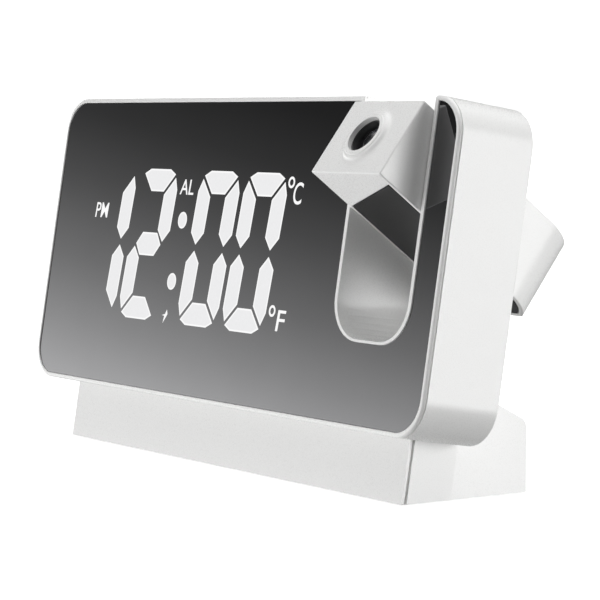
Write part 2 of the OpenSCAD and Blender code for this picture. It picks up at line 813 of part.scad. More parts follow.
// One lamp chip behind each segment, dot and sign
module display_lamps() {
    spots = [
        [0, half_h - 3], [0, 3 - half_h], [0, 0], [tip_x, half_h / 2], [tip_x, -half_h / 2],
        [-tip_x, -half_h / 2], [-tip_x, half_h / 2]
    ];
    color("lightyellow") leaning() {
        for (i = [0 : 3], k = [0 : digit_segments(i)])
            lamp(display_x(digit_lefts[i] + spots[k][0] + slant(spots[k][1])), digit_mid + spots[k][1]);
        for (s = [-1, 1]) lamp(dot_x(s), dot_z(s));
        for (w = sign_windows) lamp(display_x((w[0][0] + w[1][0]) / 2), (w[0][1] + w[1][1]) / 2);
    }
}

module lamp(x, z) {
    block([x - 1, display_y - 0.8, z - 0.6], [x + 1, display_y, z + 0.6]);
}

module display_screws() {
    color(steel) leaning() for (x = display_post_xs, z = display_post_zs)
        translate([x, display_y + board_t, z]) rotate([-90, 0, 0])
            screw(small_head_r, small_head_t, board_screw_r, 5.4);
}

// ---- electronics ---------------------------------------------------------------------------

function key_x(i) = first_key_x + i * key_pitch;

module board_header() {
    color(black_plastic) leaning()
        block([header_x, display_y + board_t, header_z], [header_x + header_l, main_y, header_z + header_h]);
}

module main_board() {
    color(board_green) leaning() difference() {
        block([main_left, main_y, main_low], [main_right, main_back, main_high]);
        for (p = board_posts) rod_y(p[0], p[1], board_screw_r + 0.2, main_y - over, main_back + over);
    }
}

module board_screws() {
    color(steel) leaning() for (p = board_posts)
        translate([p[0], main_y, p[1]]) rotate([90, 0, 0])
            screw(small_head_r, small_head_t, board_screw_r, board_t + 4);
}

module clock_chip() {
    color(black_plastic) leaning() difference() {
        block([chip_x, main_back, chip_z], [chip_x + chip_w, main_back + chip_t, chip_z + chip_w]);
        rod_y(chip_x + 1.4, chip_z + chip_w - 1.4, 0.6, main_back + chip_t - 0.3, main_back + chip_t + over);
    }
}

// Push switches behind the five keys, and one on the board's top edge under the snooze bar
module tact_switches() {
    color(black_plastic) leaning() {
        for (i = [0 : 4]) translate([key_x(i), 0, key_z]) {
            block([-switch_body / 2, main_back, -switch_body / 2],
                  [switch_body / 2, switch_top - plunger_l, switch_body / 2]);
            rod_y(0, 0, plunger_r, switch_top - plunger_l - hair, switch_top);
        }
        translate([bar_x, bar_y, 0]) {
            block([-switch_body / 2, -switch_body / 2, main_high],
                  [switch_body / 2, switch_body / 2, bar_switch_top - plunger_l]);
            translate([0, 0, main_high]) cylinder(r = plunger_r, h = bar_switch_top - main_high);
        }
    }
}

module buzzer() {
    color(black_plastic) leaning() difference() {
        rod_y(buzzer_x, buzzer_z, buzzer_r, main_back, inner_back - 0.2);
        rod_y(buzzer_x, buzzer_z, 1, main_back + 2, inner_back + over);
    }
}

// Power inlet: a square body with a round bore and its centre pin
module power_jack() {
    color(black_plastic) leaning() translate([jack_x, 0, port_z]) {
        difference() {
            block([-jack_w / 2, jack_y - jack_l, -jack_w / 2], [jack_w / 2, jack_y, jack_w / 2]);
            rod_y(0, 0, jack_bore_r, jack_y - jack_l + 1.5, jack_y + over);
        }
        rod_y(0, 0, jack_pin_r, jack_y - jack_l + 1, jack_y - 0.8);
    }
}

module coin_cell() {
    color(steel) leaning() {
        rod_y(cell_x, cell_z, cell_r, well_floor + 1, well_floor + 0.5 + cell_t);
        rod_y(cell_x, cell_z, cell_r - 1, well_floor + 0.5, well_floor + 1 + hair);
    }
}

module cell_contact() {
    color("gold") leaning() difference() {
        block([cell_x - 4, well_floor, cell_z - cell_well / 2 + 0.5],
              [cell_x + 4, well_floor + 0.5, cell_z + cell_well / 2 - 0.5]);
        rod_y(cell_x, cell_z, 1, well_floor - over, well_floor + over);
    }
}

// ---- controls ------------------------------------------------------------------------------

// A bar outline with round ends, centred
module stadium(l, w) {
    square([l - w, w], center = true);
    for (x = [-(l - w) / 2, (l - w) / 2]) translate([x, 0]) circle(w / 2);
}

module snooze_bar() {
    color(white_abs) leaning() translate([bar_x, bar_y, bar_floor]) {
        linear_extrude(bar_flange_t)
            stadium(bar_l + 2 * bar_flange_over, bar_w + 2 * bar_flange_over);
        linear_extrude(housing_h + bar_proud - bar_floor) stadium(bar_l, bar_w);
    }
}

// A rear key: a round cap, dished for the finger, on a flange that stops it behind the wall
module rear_key(i) {
    color(white_abs) leaning() difference() {
        union() {
            rod_y(key_x(i), key_z, key_flange_r, key_floor, key_floor + key_flange_t);
            rod_y(key_x(i), key_z, key_r, key_floor, housing_d + key_proud);
        }
        translate([key_x(i), housing_d + key_proud + 11.6, key_z]) sphere(12);
    }
}

module key_1() rear_key(0);
module key_2() rear_key(1);
module key_3() rear_key(2);
module key_4() rear_key(3);
module key_5() rear_key(4);

// ---- projector pivot -----------------------------------------------------------------------

// A flanged bush; side is -1 for the left wall of the slot and 1 for the right
module bush(side) {
    color("#d9d9d6") leaning() translate([slot_x, pivot_y, pivot_h]) mirror([side < 0 ? 1 : 0, 0, 0])
        difference() {
            union() {
                rod_x(slot_w / 2, slot_w / 2 + liner_t + bush_flange_t, bush_r);
                rod_x(slot_w / 2 + liner_t, slot_w / 2 + liner_t + bush_flange_t, bush_flange_r);
            }
            rod_x(slot_w / 2 - over, slot_w / 2 + liner_t + bush_flange_t + over, shaft_r + shaft_gap);
        }
}

module bush_left() bush(-1);
module bush_right() bush(1);

// A thin washer runs in the gap between the arm and the slot on each side
module friction_washers() {
    free = (side_gap - washer_t) / 2;
    color(steel) leaning() translate([slot_x, pivot_y, pivot_h]) for (s = [0, 1]) mirror([s, 0, 0])
        difference() {
            rod_x(arm_w / 2 + free, arm_w / 2 + free + washer_t, washer_r);
            rod_x(0, slot_w, shaft_r + shaft_gap);
        }
}

// The projector's lead runs through the hollow left shaft to the display board
module projector_cable() {
    color("#33363a") leaning()
        rod_x(lightbox_right + panel_gap, slot_x - tube_r - 0.3, shaft_bore_r - 0.6, pivot_y, pivot_h);
}

module pivot_tube_left() {
    color(steel) arm_frame() difference() {
        rod_x(-shaft_out, -shaft_in, shaft_r);
        rod_x(-shaft_out - over, -shaft_in + over, shaft_bore_r);
    }
}

module pivot_pin_right() {
    color(steel) arm_frame() rod_x(shaft_in, shaft_out, shaft_r);
}

// ---- projector arm -------------------------------------------------------------------------

// The arm's U outline, taken in by inset
module arm_outline(inset = 0) {
    u_outline(arm_w - 2 * inset, inset - arm_tail_r - drop, arm_head - inset, arm_corner_r - inset);
}

// The arm as a solid, taken in by inset: square at the lens end, its tail end round about the pivot
module arm_body(inset, y0, y1) {
    intersection() {
        slab(y0, y1) arm_outline(inset);
        union() {
            rod_x(-arm_w, arm_w, arm_tail_r - inset);
            block([-arm_w, y0, 0], [arm_w, y1, arm_head]);
        }
    }
}

// The arm's mirror: the same U, cut straight at its lower end and on a slant under the white cap
module arm_mirror_outline(inset) {
    rise = (cap_right - cap_left) / arm_w;
    foot = arm_tip_z + inset;
    top = (cap_left + cap_right) / 2 + arm_border - inset;
    intersection() {
        arm_outline(inset);
        polygon([[-arm_w, foot], [arm_w, foot], [arm_w, top + rise * arm_w], [-arm_w, top - rise * arm_w]]);
    }
}

// The raised ring round the lens: a hollow flank that runs smoothly into a round crest
module lens_boss() {
    crest = (boss_crest_r - lens_hole_r) / 2;
    mid = boss_crest_r - crest;
    low = boss_h - crest;
    flank = (pow(boss_r - mid, 2) + pow(low, 2) - pow(crest, 2)) / (2 * boss_h);
    join = low + crest * (flank - low) / (flank + crest);
    rotate_extrude() {
        translate([0, -hair]) square([mid, boss_h + hair]);
        translate([mid, low]) circle(crest);
        difference() {
            translate([0, -hair]) square([boss_r, join + hair]);
            translate([boss_r, flank]) circle(flank);
        }
    }
}

module arm_shell() {
    front = -arm_t / 2;
    ledge_y = front + arm_mirror_t;
    color(white_abs) arm_frame() difference() {
        union() {
            difference() {
                arm_body(0, front, -front);
                arm_body(arm_wall, ledge_y + 1, -front - arm_wall);
                slab(front - over, ledge_y) arm_mirror_outline(arm_border);
                slab(front, ledge_y + 1 + hair) arm_mirror_outline(arm_border + arm_ledge);
            }
            for (s = [-1, 1])
                rod_x(s < 0 ? -arm_in_x - hair : shaft_in + 0.4, s < 0 ? -shaft_in - 0.4 : arm_in_x + hair,
                      shaft_r + 1.6);
            for (s = [-1, 1]) rod_y(s * ear_x, ear_z, 2, ear_y, -front - arm_wall + hair);
            translate([0, 0, arm_head]) lens_boss();
        }
        rod_x(-arm_w, arm_w, shaft_r + hair);
        translate([0, 0, arm_head - arm_wall - over]) cylinder(r = lens_hole_r, h = arm_wall + boss_h + 2 * over);
        for (s = [-1, 1]) rod_y(s * ear_x, ear_z, board_screw_r + hair, ear_y - over, arm_t / 2 - 0.5);
    }
}

module arm_mirror() {
    color(mirror_black) arm_frame()
        slab(-arm_t / 2, -arm_t / 2 + arm_mirror_t - seat) arm_mirror_outline(arm_border + panel_gap);
}

// The tube that holds the lamp, condenser and numeral slide, and guides the barrel
module optic_tube() {
    top = arm_head - arm_wall - seat;
    color(black_plastic) arm_frame() difference() {
        union() {
            translate([0, 0, -tube_tail]) cylinder(r = tube_r, h = top + tube_tail);
            block([-ear_x - 2, ear_y - ear_t, ear_z - 2], [ear_x + 2, ear_y, ear_z + 2]);
        }
        translate([0, 0, -tube_tail - over]) cylinder(r = optic_bore, h = tube_tail + over + barrel_back - 2);
        translate([0, 0, barrel_back - 2 - over]) cylinder(r = lens_hole_r, h = barrel_l + 3 * over);
        for (s = [-1, 1]) rod_y(s * ear_x, ear_z, board_screw_r + 0.2, 0, arm_t);
    }
}

module tube_screws() {
    color(steel) arm_frame() for (s = [-1, 1])
        translate([s * ear_x, ear_y - ear_t, ear_z]) rotate([90, 0, 0])
            screw(1.6, 1.1, board_screw_r, ear_t + 2.4);
}

// The focusing barrel, which turns in the tube; its front edge is notched for a finger
module lens_barrel() {
    color(black_plastic) arm_frame() difference() {
        translate([0, 0, barrel_back]) cylinder(r = barrel_r, h = barrel_l);
        translate([0, 0, lens_z - 3]) cylinder(r = lens_r, h = barrel_l);
        translate([0, 0, barrel_back - over]) cylinder(r = lens_r - 0.7, h = barrel_l);
        translate([0, 0, barrel_front - 1.4])
            cylinder(r1 = lens_r - 0.2, r2 = barrel_r - 0.25, h = 1.4 + hair);
        for (i = [0 : barrel_notches - 1]) rotate([0, 0, i * 360 / barrel_notches])
            translate([barrel_r - 0.5, -0.3, barrel_front - 0.6]) cube([over, 0.6, over]);
    }
}

// A lens with two round faces of radius ball, r in radius and edge thick at its rim
module biconvex(r, ball, edge) {
    sag = ball - sqrt(ball * ball - r * r);
    intersection() {
        cylinder(r = r, h = edge + 2 * sag, center = true);
        translate([0, 0, ball - edge / 2 - sag]) sphere(ball);
        translate([0, 0, edge / 2 + sag - ball]) sphere(ball);
    }
}

module front_lens() {
    color("#7f8fa8") arm_frame() translate([0, 0, lens_z - 1.5]) biconvex(lens_r - hair, lens_ball_r, 1);
}

module condenser_lens() {
    color("#aab6c6") arm_frame() translate([0, 0, condenser_z]) biconvex(optic_bore - hair, 11, 0.8);
}

module numeral_slide() {
    color("#4a5058") arm_frame() translate([0, 0, slide_z]) cylinder(r = optic_bore - hair, h = 1.1);
}

module lamp_board() {
    color(board_green) arm_frame() translate([0, 0, -tube_tail - board_t - seat]) intersection() {
        cylinder(r = tube_r, h = board_t);
        block([-tube_r, -tube_r, 0], [tube_r, tube_r - 0.8, board_t]);
    }
}

module lamp_chip() {
    color("lightyellow") arm_frame()
        block([-1.8, -1.8, -tube_tail - seat], [1.8, 1.8, -tube_tail + 0.9]);
}

front_bezel();
mirror_panel();
rear_housing();
stand_front();
stand_shell();
stand_plate();
rubber_feet();
stand_screws();
plate_screws();
case_screws();
light_box();
segment_diffusers();
display_board();
display_lamps();
display_screws();
board_header();
main_board();
board_screws();
clock_chip();
tact_switches();
buzzer();
power_jack();
coin_cell();
cell_contact();
battery_door();
door_screw();
snooze_bar();
key_1();
key_2();
key_3();
key_4();
key_5();
bush_left();
bush_right();
friction_washers();
projector_cable();
arm_shell();
arm_mirror();
pivot_tube_left();
pivot_pin_right();
optic_tube();
tube_screws();
lens_barrel();
front_lens();
condenser_lens();
numeral_slide();
lamp_board();
lamp_chip();
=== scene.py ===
# Projection alarm clock: the looks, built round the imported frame
import json
from math import asin, atan2, cos, hypot, pi, radians, sin, sqrt, tan

import bmesh
import bpy
from mathutils import Matrix, Vector


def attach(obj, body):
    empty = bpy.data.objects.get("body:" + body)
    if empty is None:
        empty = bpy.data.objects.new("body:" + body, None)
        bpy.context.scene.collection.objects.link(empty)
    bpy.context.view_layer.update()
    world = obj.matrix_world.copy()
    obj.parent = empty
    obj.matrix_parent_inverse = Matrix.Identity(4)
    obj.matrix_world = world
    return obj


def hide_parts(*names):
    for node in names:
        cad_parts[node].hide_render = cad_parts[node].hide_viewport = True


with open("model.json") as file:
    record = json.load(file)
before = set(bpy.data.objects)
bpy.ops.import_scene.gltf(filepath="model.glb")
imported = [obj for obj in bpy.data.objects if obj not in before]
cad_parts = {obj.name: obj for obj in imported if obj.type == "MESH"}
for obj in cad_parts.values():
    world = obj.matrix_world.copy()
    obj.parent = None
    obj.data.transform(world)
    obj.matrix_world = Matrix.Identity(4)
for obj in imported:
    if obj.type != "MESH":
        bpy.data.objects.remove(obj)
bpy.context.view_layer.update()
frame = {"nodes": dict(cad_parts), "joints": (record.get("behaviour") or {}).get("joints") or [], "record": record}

nodes = frame["nodes"]
mm = 0.001
print("frame loaded,", len(nodes), "nodes")

# where things are: the leaning housing and the turned arm, in millimetres of their own frames
clock = {
    "lean": 9.5,                        # degrees that the housing leans back
    "armTurn": 62,                      # degrees that the arm stands forward
    "pivotInHousing": (67.6, 10.4, 58.1),
    "halfWidth": 92.5, "height": 78.6, "depth": 21.6, "cornerR": 9.5,
    "faceY": 0.3,                       # the mirror's face lies this far behind the rim
}
pivot = Vector(next(j["pos_m"] for j in frame["joints"] if j["name"] == "arm_hinge"))
leanTurn = Matrix.Rotation(-radians(clock["lean"]), 4, "X")
frontLow = pivot - leanTurn @ (Vector(clock["pivotInHousing"]) * mm)
housingFrame = Matrix.Translation(frontLow) @ leanTurn @ Matrix.Scale(mm, 4)
armFrame = (Matrix.Translation(pivot) @ leanTurn @ Matrix.Rotation(radians(clock["armTurn"]), 4, "X")
            @ Matrix.Scale(mm, 4))


def toLinear(code):                     # sRGB hex to the linear colour that a shader takes
    parts = [int(code[i:i + 2], 16) / 255 for i in (1, 3, 5)]
    return [p / 12.92 if p <= 0.04045 else ((p + 0.055) / 1.055) ** 2.4 for p in parts] + [1]


def addNode(tree, kind, sockets=None, **settings):
    # one node with its settings; a socket takes a value or the output that feeds it
    node = tree.nodes.new("ShaderNode" + kind)
    for name, value in settings.items():
        setattr(node, name, value)
    for name, value in (sockets or {}).items():
        if isinstance(value, bpy.types.NodeSocket):
            tree.links.new(value, node.inputs[name])
        else:
            node.inputs[name].default_value = value
    return node


def newFinish(name, sockets):           # a material, its node tree, its shader and its object coordinates
    finish = bpy.data.materials.new(name)
    finish.use_nodes = True
    tree = finish.node_tree
    shader = tree.nodes["Principled BSDF"]
    for socket, value in sockets.items():
        shader.inputs[socket].default_value = value
    where = addNode(tree, "TexCoord").outputs["Object"]
    return finish, tree, shader, where


def twoTone(tree, where, target, low, high, grain, detail):
    # soft spots, grain millimetres across, that drift between two tones; gives back their pattern
    spots = addNode(tree, "TexNoise", {"Vector": where, "Scale": 1 / (grain * mm), "Detail": detail})
    tone = addNode(tree, "Mix", {0: spots.outputs["Fac"], 6: toLinear(low), 7: toLinear(high)},
                   data_type="RGBA")
    tree.links.new(tone.outputs[2], target)
    return spots.outputs["Fac"]


# the finishes, each named for what it is made of and how
def mouldedAbs(name, low, high, roughness, grain):
    # plastic moulded against a spark-eroded tool: white, soft highlights and a very fine even pebble; the
    # pebble is drawn at the given grain, coarser than real, so that it shows at all
    finish, tree, shader, where = newFinish(name, {"Roughness": roughness, "IOR": 1.53})
    pebble = addNode(tree, "TexNoise", {"Vector": where, "Scale": 1 / (grain * mm), "Detail": 3.0,
                                        "Roughness": 0.6})
    twoTone(tree, where, shader.inputs["Base Color"], low, high, grain=35, detail=2.0)
    sheen = addNode(tree, "MapRange", {"Value": pebble.outputs["Fac"], "To Min": roughness - 0.05,
                                       "To Max": roughness + 0.05})
    tree.links.new(sheen.outputs["Result"], shader.inputs["Roughness"])
    bump = addNode(tree, "Bump", {"Height": pebble.outputs["Fac"], "Strength": 0.06, "Distance": 0.02 * mm})
    tree.links.new(bump.outputs["Normal"], shader.inputs["Normal"])
    return finish


def mirrorAcrylic():
    # cast acrylic with a vacuum-metallised tinted face: a sharp dark mirror, a hair of dust and polish haze
    finish, tree, shader, where = newFinish("tintedMirrorAcrylic", {"Metallic": 1.0, "Roughness": 0.03})
    haze = twoTone(tree, where, shader.inputs["Base Color"], "#727273", "#767677", grain=18, detail=4.0)
    polish = addNode(tree, "MapRange", {"Value": haze, "To Min": 0.02, "To Max": 0.045})
    tree.links.new(polish.outputs["Result"], shader.inputs["Roughness"])
    return finish


def smokedAcrylic():
    # smoked acrylic sheet: almost black and glossy, in slow clouds of two near blacks
    finish, tree, shader, where = newFinish("smokedAcrylic", {"Roughness": 0.12, "IOR": 1.49,
                                                              "Specular IOR Level": 0.3})
    twoTone(tree, where, shader.inputs["Base Color"], "#242426", "#2e2e30", grain=12, detail=3.0)
    return finish


def litFilm(name, low, high):
    # milky polycarbonate film lit from behind: even white light with the faint speckle of its diffuser
    finish, tree, shader, where = newFinish(name, {"Base Color": toLinear("#101012"), "Roughness": 0.5,
                                                   "Specular IOR Level": 0.0, "Emission Strength": 1.0})
    twoTone(tree, where, shader.inputs["Emission Color"], low, high, grain=0.6, detail=1.0)
    return finish


def zincSteel():
    # zinc-plated steel: bright grey metal with the fine turned marks of a screw or shaft
    finish, tree, shader, where = newFinish("zincPlatedSteel", {"Metallic": 1.0, "Roughness": 0.3})
    marks = twoTone(tree, where, shader.inputs["Base Color"], "#a9acb0", "#c9ccd0", grain=0.4, detail=4.0)
    rub = addNode(tree, "MapRange", {"Value": marks, "To Min": 0.22, "To Max": 0.42})
    tree.links.new(rub.outputs["Result"], shader.inputs["Roughness"])
    return finish


def rawBrass():
    # rolled brass strip: warm yellow metal, lightly tarnished in clouds
    finish, tree, shader, where = newFinish("rolledBrass", {"Metallic": 1.0, "Roughness": 0.28})
    twoTone(tree, where, shader.inputs["Base Color"], "#c9a256", "#a9823c", grain=3, detail=4.0)
    return finish


def solderMask():
    # glass-epoxy board under green solder mask: copper tracks show as lighter lines, 1 mm apart, with bends
    finish, tree, shader, where = newFinish("greenSolderMask", {"Roughness": 0.35, "IOR": 1.5})
    bend = addNode(tree, "TexNoise", {"Vector": where, "Scale": 1 / (14 * mm), "Detail": 1.0})
    shift = addNode(tree, "VectorMath", {0: where, 1: bend.outputs["Color"]}, operation="ADD")
    tracks = addNode(tree, "TexBrick", {"Vector": shift.outputs["Vector"], "Scale": 1 / (4 * mm),
                                        "Color1": toLinear("#22613c"), "Color2": toLinear("#1f5a38"),
                                        "Mortar": toLinear("#3f8656"), "Mortar Size": 0.04})
    tree.links.new(tracks.outputs["Color"], shader.inputs["Base Color"])
    weave = addNode(tree, "Bump", {"Height": tracks.outputs["Fac"], "Strength": 0.3, "Distance": 0.03 * mm})
    tree.links.new(weave.outputs["Normal"], shader.inputs["Normal"])
    return finish


def blackMoulding():
    # glass-filled black plastic of connectors and optics: matt, with a fine dry grain
    finish, tree, shader, where = newFinish("blackMoulding", {"Roughness": 0.5, "IOR": 1.5})
    grain = twoTone(tree, where, shader.inputs["Base Color"], "#0c0c0d", "#18181a", grain=0.3, detail=3.0)
    bump = addNode(tree, "Bump", {"Height": grain, "Strength": 0.15, "Distance": 0.02 * mm})
    tree.links.new(bump.outputs["Normal"], shader.inputs["Normal"])
    return finish


def footRubber():
    # moulded silicone rubber: dull grey, soft to the eye, with a dusty mottle
    finish, tree, shader, where = newFinish("greySiliconeRubber", {"Roughness": 0.8, "IOR": 1.41})
    twoTone(tree, where, shader.inputs["Base Color"], "#55575a", "#6a6c6f", grain=1.2, detail=4.0)
    return finish


def lampResin():
    # phosphor-filled silicone over a light chip: pale yellow, slightly translucent
    finish, tree, shader, where = newFinish("phosphorResin", {"Roughness": 0.3, "IOR": 1.41,
                                                              "Subsurface Weight": 0.3,
                                                              "Subsurface Scale": 0.4 * mm})
    twoTone(tree, where, shader.inputs["Base Color"], "#e9dc8a", "#f3e9a8", grain=0.5, detail=2.0)
    return finish


def leadCover():
    # soft PVC cable cover: near-black, a low sheen and a faint drawn ripple
    finish, tree, shader, where = newFinish("softPvcCover", {"Roughness": 0.45, "IOR": 1.53})
    twoTone(tree, where, shader.inputs["Base Color"], "#232427", "#303236", grain=0.8, detail=2.0)
    return finish


def lensGlass():
    # polished acrylic lens with an anti-reflection coat: clear, a faint violet cast in its highlight
    finish, tree, shader, where = newFinish("coatedLensAcrylic", {"Transmission Weight": 1.0, "IOR": 1.49,
                                                                  "Roughness": 0.01, "Coat Weight": 0.4,
                                                                  "Coat Roughness": 0.02})
    twoTone(tree, where, shader.inputs["Base Color"], "#dfe3f0", "#f0eef8", grain=6, detail=1.0)
    return finish


finishes = {
    "white_shell": mouldedAbs("satinWhiteAbs", "#efefee", "#f3f3f2", roughness=0.28, grain=0.25),
    "mirror_acrylic": mirrorAcrylic(),
    "foot_rubber": footRubber(),
    "screw_steel": zincSteel(),
    "reflector_white": mouldedAbs("mattWhitePolystyrene", "#e9e9e8", "#f1f1f0", roughness=0.7, grain=0.4),
    "diffuser_film": litFilm("litDiffuserFilm", "#e9e9ea", "#f0f0f1"),
    "circuit_board": solderMask(),
    "black_moulding": blackMoulding(),
    "contact_brass": rawBrass(),
    "lamp_resin": lampResin(),
    "bush_acetal": mouldedAbs("naturalAcetal", "#dcdcd8", "#e6e6e2", roughness=0.3, grain=0.5),
    "lead_cover": leadCover(),
    "optic_glass": lensGlass(),
}
filmEdge = litFilm("litFilmEdge", "#fafafa", "#ffffff")
smoked = smokedAcrylic()
print("finishes made,", len(finishes) + 2)

# every CAD node takes the finish of its slot; the arm's insert is the darker smoked sheet
for part in frame["record"]["subparts"]:
    piece = nodes[part["node"]]
    piece.data.materials.clear()
    piece.data.materials.append(smoked if part["node"] == "arm_mirror" else finishes[part["material_slot"]])


def place(piece, body, materialSlot, *replaced):   # into the scene, on its body, for the nodes it stands for
    bpy.context.scene.collection.objects.link(piece)
    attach(piece, body)
    if replaced:
        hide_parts(*replaced)
    print(piece.name, len(piece.data.polygons), "faces")
    return piece


# rounded copies of the moulded pieces
copying = {
    "merge": 0.002,                     # millimetres within which two corners are one
    "flat": 0.4,                        # degrees below which neighbouring faces are one
    "edge": 32,                         # degrees from which an edge can be rounded
    "sharp": 33,                        # degrees from which an edge stays sharp in the shading
    "segments": 3,
    "weight": 50,
}


def softCopy(node, name, body, materialSlot, rounds=(), shaping=None):
    # a merged copy of a CAD solid; each round is a width in millimetres and the test that picks its edges
    shape = bmesh.new()
    shape.from_mesh(nodes[node].data)
    bmesh.ops.remove_doubles(shape, verts=shape.verts, dist=copying["merge"] * mm)
    bmesh.ops.dissolve_limit(shape, angle_limit=radians(copying["flat"]), verts=shape.verts,
                             edges=shape.edges)
    if shaping:
        for v in shape.verts:
            v.co = housingFrame @ shaping(housingFrame.inverted() @ v.co)
    for width, chosen in rounds:
        picked = [e for e in shape.edges if len(e.link_faces) == 2
                  and e.calc_face_angle() > radians(copying["edge"]) and chosen(e)]
        bmesh.ops.bevel(shape, geom=picked, offset=width * mm, offset_type="OFFSET",
                        segments=copying["segments"], profile=0.5, affect="EDGES", clamp_overlap=True,
                        material=-1)
    mesh = bpy.data.meshes.new(name)
    shape.to_mesh(mesh)
    shape.free()
    mesh.materials.append(finishes[materialSlot])
    mesh.shade_smooth()
    mesh.set_sharp_from_angle(angle=radians(copying["sharp"]))
    piece = bpy.data.objects.new(name, mesh)
    even = piece.modifiers.new("evenNormals", "WEIGHTED_NORMAL")   # keeps flat faces flat beside a rounding
    even.keep_sharp, even.weight = True, copying["weight"]
    return place(piece, body, materialSlot, node)


near = 0.05                             # millimetres within which a point counts as on a surface


def inHousing(edge):                    # an edge's two ends in the housing's frame, in millimetres
    back = housingFrame.inverted()
    return [back @ v.co for v in edge.verts]


def cornerReach(p):                     # how far a point near a corner of the front lies outside its arc
    reachX = abs(p.x) - clock["halfWidth"] + clock["cornerR"]
    reachZ = max(clock["cornerR"] - p.z, p.z - clock["height"] + clock["cornerR"])
    return hypot(reachX, reachZ) - clock["cornerR"] if min(reachX, reachZ) > 0 else -1


def onOutline(p):                       # on the outer surface of the housing, its four rounded corners too
    return (abs(p.x) > clock["halfWidth"] - near or p.z < near or p.z > clock["height"] - near
            or cornerReach(p) > -near)


# the slot's walls as built, in millimetres, and the fuller fillet that its moulding has along the floor
slot = {
    "halfWidth": 14.7, "cornerR": 10.4, "lip": 1.4,
    "floorR": 38.7, "drop": 0.4,        # the floor's radius about the pivot, and how far its corners drop
    "narrow": 0.5, "rise": 0.3,         # how far each side comes in and the floor comes up
    "filletR": 9.6,
    "thinner": 0.46,                    # share of the lip's width that is lost at the floor
}


def fullerSlot(p):                      # moves a point of the slot's wall, floor or lip; the rest stays
    midX, midY, midZ = clock["pivotInHousing"]
    side, y, z = (1 if p.x > midX else -1), p.y - midY, p.z - midZ
    reach = abs(p.x - midX)
    centreX, centreZ = slot["halfWidth"] - slot["cornerR"], slot["cornerR"] - slot["floorR"] - slot["drop"]
    floorZ = -sqrt(slot["floorR"] ** 2 - y * y)
    softFloorZ = -sqrt((slot["floorR"] - slot["rise"]) ** 2 - y * y)
    softX = slot["halfWidth"] - slot["narrow"] - slot["filletR"]
    level = 0.02                        # millimetres about the height where the corners start
    if z > centreZ - level:
        out = reach - slot["halfWidth"]
        if -near < out < slot["lip"]:
            if z < centreZ + level:
                z = softFloorZ + slot["filletR"]
            return Vector((midX + side * (reach - slot["narrow"]), p.y, z + midZ))
    elif reach > centreX:
        out = hypot(reach - centreX, z - centreZ) - slot["cornerR"]
        if -near < out < slot["lip"]:
            turn = atan2(centreZ - z, reach - centreX)
            last = asin(min(1, (centreZ - floorZ + out) / (slot["cornerR"] + out)))
            turn = min(turn / last, 1) * pi / 2
            grown = slot["filletR"] + out * (1 - slot["thinner"] * sin(turn) ** 2)
            return Vector((midX + side * (softX + grown * cos(turn)), p.y,
                           midZ + softFloorZ + slot["filletR"] - grown * sin(turn)))
    return p


# the seam down the side of the neck: where it lies, and how much deeper and wider it gets
groove = {"foot": 78.6, "deeper": 0.3, "rear": 8.81, "wider": 0.35}


def widerGroove(p):                     # a point of the seam moves until it is as wide as its shadow looks
    side, x = (1 if p.x > 0 else -1), abs(p.x)
    if x > groove["foot"] - near:
        rear = abs(p.y - groove["rear"]) < near
        return Vector((side * (x - groove["deeper"] if x < groove["foot"] + near else x),
                       p.y + groove["wider"] if rear else p.y, p.z))
    return p


# widths of the roundings, and where the rounded edges of each piece lie, in millimetres
rounding = {
    "rim": 0.85, "lip": 0.4, "housing": 0.5, "stand": 0.4, "arm": 0.4, "bar": 0.4, "key": 0.25, "door": 0.2,
    "neckBelow": 0.6,                   # the neck cover's edges below this height over the table
    "footBeyond": 75,                   # the stand's edges this far to either side of the middle
    "barAbove": 79, "keyBehind": 22, "doorBehind": 21.55,   # heights and depths in the housing's frame
}
# the arm's edges, in its own frame: on its front, back or head, past its shaft and outside its lens end
armEdges = {"faceY": 10.3, "headZ": 20.4, "shaftX": 3.9, "tailZ": -30, "lensSquareR": 60, "lensZ": 20}


def onFront(edge):
    return all(p.y < near for p in inHousing(edge))


def onFrontRim(edge):
    return all(p.y < near and onOutline(p) for p in inHousing(edge))


def onRearRim(edge):
    return all(p.y > clock["depth"] - near and onOutline(p) for p in inHousing(edge))


def onNeckFoot(edge):
    return all(v.co.z < rounding["neckBelow"] * mm for v in edge.verts)


def onStandEnd(edge):
    return all(abs(v.co.x) > rounding["footBeyond"] * mm and v.co.y > 0 for v in edge.verts)


def onArmOutline(edge):
    back = armFrame.inverted()
    for p in (back @ v.co for v in edge.verts):
        onFace = abs(p.y) > armEdges["faceY"]
        pastShaft = abs(p.x) > armEdges["shaftX"] or p.z < armEdges["tailZ"] or onFace
        offLens = p.x * p.x + p.y * p.y > armEdges["lensSquareR"] or p.z < armEdges["lensZ"]
        if not ((onFace or p.z > armEdges["headZ"]) and pastShaft and offLens):
            return False
    return True


